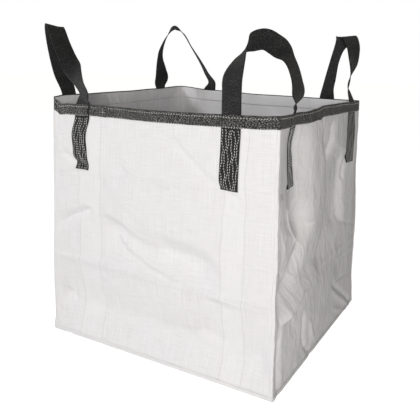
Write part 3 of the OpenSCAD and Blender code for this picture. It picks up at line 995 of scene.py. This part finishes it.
mesh = bmesh.new()
z = RIM - np.arange(ROW_MARGIN, TAPE_WIDE - ROW_MARGIN, LAP_STITCH)
sew(mesh, *surface_row(lap_face, lap_middle + 0 * z, z), LAP_STITCH, wide=LAP_THREAD_WIDE)
x = lap_middle + np.arange(-0.010, 0.0101, LAP_STITCH)
sew(mesh, *surface_row(lap_face, x, RIM - TAPE_WIDE / 2 + 0 * x), LAP_STITCH, wide=LAP_THREAD_WIDE)
piece = finished("mouth_tape_lap_thread", mesh)
piece.data.materials.append(tape_thread)
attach(piece, "sack")
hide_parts("mouth_tape_lap_stitches")

# ---------------------------------------------------------------------------
# The four lifting loops. Each is one length of heavy black webbing that is sewn
# flat down one wall, stands up over the corner and comes down on the next wall.
# Above the rim it bends where it is swung, and it twists as it turns the corner.

SEWN_LENGTH = 0.232
LEG_ROWS = 46
STATION_STEPS = 12
STRAP_COLUMNS = 13
# How each loop runs from its first leg to its second: at each place, how far it
# is along, out and up from the middle of its two legs at the rim, in mm, and which
# way the webbing's inner edge looks, along, out and up
LOOP_RUNS = (
    (
        (-77, 0, 0, (.526, .85, 0)), (-80, 8, 45, (.45, .88, 0)), (-74, 26, 110, (.35, .9, .1)),
        (-50, 44, 185, (.2, .93, .15)), (-12, 60, 254, (.1, .96, .2)), (8, 60, 261, (.1, .96, .2)),
        (36, 48, 205, (.1, .95, .15)), (57, 31, 150, (0, .97, .1)), (73, 16, 105, (-.75, .6, .1)),
        (82, 4, 68, (-.95, .2, .05)), (87, -5, 38, (-.95, .12, 0)), (80, -2, 16, (-.9, .35, 0)),
        (77, 0, 0, (-.85, .526, 0)),
    ),
    (
        (-102, 0, 0, (.776, .63, 0)), (-103, 0, 60, (.776, .63, 0)), (-101, -3, 108, (.776, .63, 0)),
        (-80, -15, 160, (.3, .95, 0)), (-62, -25, 190, (-.05, .98, .25)),
        (-38, -36, 212, (0, .45, .89)),
        (2, -40, 222, (0, .25, .97)), (36, -38, 206, (.1, .2, .97)), (59, -34, 188, (.35, -.3, .85)),
        (76, -27, 166, (.72, -.62, .2)), (89, -18, 138, (.75, -.66, 0)), (99, -8, 100, (.74, -.67, 0)),
        (107, -2, 60, (.8, -.58, 0)), (104, 0, 22, (.28, -.96, 0)), (102, 0, 0, (.63, -.776, 0)),
    ),
    (
        (-97, 0, 0, (.67, .742, 0)), (-97, -16, 45, (.8, .6, 0)), (-96, -18, 70, (.9, .43, 0)),
        (-94, -10, 110, (.83, .54, 0)), (-86, 4, 165, (.45, .88, 0)), (-66, 12, 220, (.2, .95, .1)),
        (-30, 18, 258, (0, .97, .1)), (12, 22, 262, (-.45, .83, .1)), (48, 24, 235, (-.93, .2, 0)),
        (74, 16, 170, (-.98, .05, 0)), (88, 8, 95, (-.95, .2, 0)), (95, 2, 45, (-.93, .3, 0)),
        (97, 0, 0, (-.742, .67, 0)),
    ),
    (
        (-117, 0, 0, (.707, .707, 0)), (-128, 0, 46, (.2, .98, 0)), (-103, 0, 98, (.05, 1, 0)),
        (-72, 0, 153, (-.07, 1, 0)), (-26, 0, 222, (-.18, .98, 0)), (10, 0, 278, (-.18, .98, 0)),
        (52, 0, 304, (-.15, .9, .35)), (90, 0, 262, (-.2, .97, 0)), (115, 0, 203, (-.4, .9, 0)),
        (120, 0, 160, (-.55, .83, 0)), (116, 0, 117, (-.8, .6, 0)), (112, 0, 72, (-.95, .3, 0)),
        (119, 0, 30, (-.85, .5, 0)), (117, 0, 0, (-.707, .707, 0)),
    ),
)
# Which way up each loop's webbing is sewn to its second wall: -1 is a half turn
LOOP_TURN = (1, -1, 1, 1)
# How each leg wanders from a straight line: share of the way down, shift, in mm
LEG_WANDER = {
    (0, 1): ((0, -14), (.15, -10), (.49, 9), (.75, 4), (1, -5)),
    (1, 0): ((0, 0), (.5, 1), (1, -1)),
    (1, 1): ((0, 0), (.5, -3), (1, -9)),
    (2, 0): ((0, 0), (.4, -4), (1, -9)),
}

LOOP_DARK = (0.012, 0.012, 0.013, 1)
LOOP_FLECK = (0.20, 0.20, 0.20, 1)
LOOP_RIB = 0.0026

loop_cloth = webbing("loop_webbing", LOOP_DARK, LOOP_FLECK, 0.5, LOOP_RIB)


def leg_of(i, second):
    """The wall, the place and the way to the corner of one leg of corner i's loop."""
    return (i, leg_place(i, False), -1) if second else ((i + 3) % 4, leg_place((i + 3) % 4, True), 1)


def leg_surface(i, second, across, down, out=0.0):
    """Points of the middle of one leg's webbing, or out from it: across towards
    the corner, and down from the rim."""
    k, place, way = leg_of(i, second)
    path = LEG_WANDER.get((i, int(second)), ((0, 0), (1, 0)))
    wander = smooth_path(path, down / SEWN_LENGTH)[..., 0] / 1000
    stand = -(STRAP_GAP + STRAP_THICK / 2 + out)
    return wall_points(k, place + way * (across + wander), RIM - down, stand)


def loop_frame(i):
    """The middle of corner i's loop at the rim, and its directions along and out."""
    tops = []
    for second in (False, True):
        k, place, _ = leg_of(i, second)
        angle = math.pi / 2 * k
        x, y = place, -(half_length(k + 1) + STRAP_THICK / 2)
        tops.append(np.array([
            x * math.cos(angle) - y * math.sin(angle),
            x * math.sin(angle) + y * math.cos(angle),
        ]))
    span = tops[1] - tops[0]
    along = span / np.linalg.norm(span)
    return (tops[0] + tops[1]) / 2, along, np.array([along[1], -along[0]])


def loop_rows(i):
    """The loop's middle line and its direction across, from the rim at its first
    leg to the rim at its second, on a smooth curve through its places."""
    middle, along, out = loop_frame(i)
    frame_axes = np.array([[*along, 0], [*out, 0], [0, 0, 1]])
    rows = np.array([[*place[:3], *place[3]] for place in LOOP_RUNS[i]], float)
    rows = np.vstack([2 * rows[0] - rows[1], rows, 2 * rows[-1] - rows[-2]])
    steps = np.linspace(0, 1, STATION_STEPS, endpoint=False)[:, None]
    curve = []
    for p, q, r, s in zip(rows[:-3], rows[1:-2], rows[2:-1], rows[3:]):
        curve.append(0.5 * (
            2 * q + (r - p) * steps + (2 * p - 5 * q + 4 * r - s) * steps ** 2
            + (3 * q - p - 3 * r + s) * steps ** 3
        ))
    curve = np.concatenate([*curve, rows[-2:-1]])
    line = curve[:, :3] / 1000 @ frame_axes + [*middle, RIM]
    forward = np.gradient(line, axis=0)
    forward /= np.linalg.norm(forward, axis=1, keepdims=True)
    across = curve[:, 3:] @ frame_axes
    across -= np.sum(across * forward, axis=1, keepdims=True) * forward
    return line, across / np.linalg.norm(across, axis=1, keepdims=True)


LEG_MARGIN = 0.007
LEG_LINES = 6
LEG_STITCH = 0.0085
JOIN_HIGH = 0.11

for i, corner in enumerate(CORNERS):
    u = np.linspace(-0.5, 0.5, STRAP_COLUMNS) * STRAP_WIDE
    down = np.linspace(SEWN_LENGTH, 0.0, LEG_ROWS)
    first = leg_surface(i, False, u[:, None], down[None, :])
    second = leg_surface(i, True, LOOP_TURN[i] * u[:, None], down[None, ::-1])
    line, across = loop_rows(i)
    arch = line[None, :, :] + u[:, None, None] * across[None, :, :]
    # the loop starts from where the cloth really holds its legs, and comes back to
    # its own line as it rises
    rise = line[:, 2] - RIM
    first_half = np.arange(len(line)) < len(line) / 2
    ends = ((first[:, -1], arch[:, 0], first_half), (second[:, 0], arch[:, -1], ~first_half))
    for leg, end, mine in ends:
        near = (1 - ease(rise / JOIN_HIGH)) * mine
        arch = arch + (leg - end)[:, None, :] * near[None, :, None]
    arch = arch[:, 1:-1]
    points = np.concatenate([first, arch, second], axis=1)
    steps = np.linalg.norm(np.diff(points[STRAP_COLUMNS // 2], axis=0), axis=1)
    run = np.concatenate([[0], np.cumsum(steps)])
    cloth = np.stack(np.broadcast_arrays(u[:, None], run[None, :]), axis=-1)
    strap = grid_piece(f"{corner}_loop_webbing", points, cloth, STRAP_THICK, offset=0)
    strap.data.materials.append(loop_cloth)
    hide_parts(f"{corner}_loop", f"{corner}_loop_bends", f"{corner}_loop_legs")
    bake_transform(strap)

    mesh = bmesh.new()
    for second in (False, True):
        for row in range(LEG_LINES):
            down = np.arange(TAPE_WIDE + 0.004, SEWN_LENGTH - 0.008, LEG_STITCH)
            down = down + stitch_draw.uniform(0, 0.6) * LEG_STITCH
            place = (row / (LEG_LINES - 1) - 0.5) * (STRAP_WIDE - 2 * LEG_MARGIN)
            place = place + 0.0024 * np.sin(down * 60 + row * 1.9 + i)
            place = place + 0.0016 * np.sin(down * 140 + row)
            centres, normals = surface_row(
                lambda across, z: leg_surface(
                    i, second, across, RIM - z, STRAP_THICK / 2 + STITCH_LIFT,
                ),
                place, RIM - down,
            )
            if second:
                normals = -normals
            sew(
                mesh, centres, normals, LEG_STITCH,
                wide=HEAVY_THREAD_WIDE, high=HEAVY_THREAD_HIGH, share=0.85, loose=0.5,
            )
    piece = finished(f"{corner}_leg_thread", mesh)
    piece.data.materials.append(tape_thread)
    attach(piece, "sack")
    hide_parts(f"{corner}_leg_stitches")
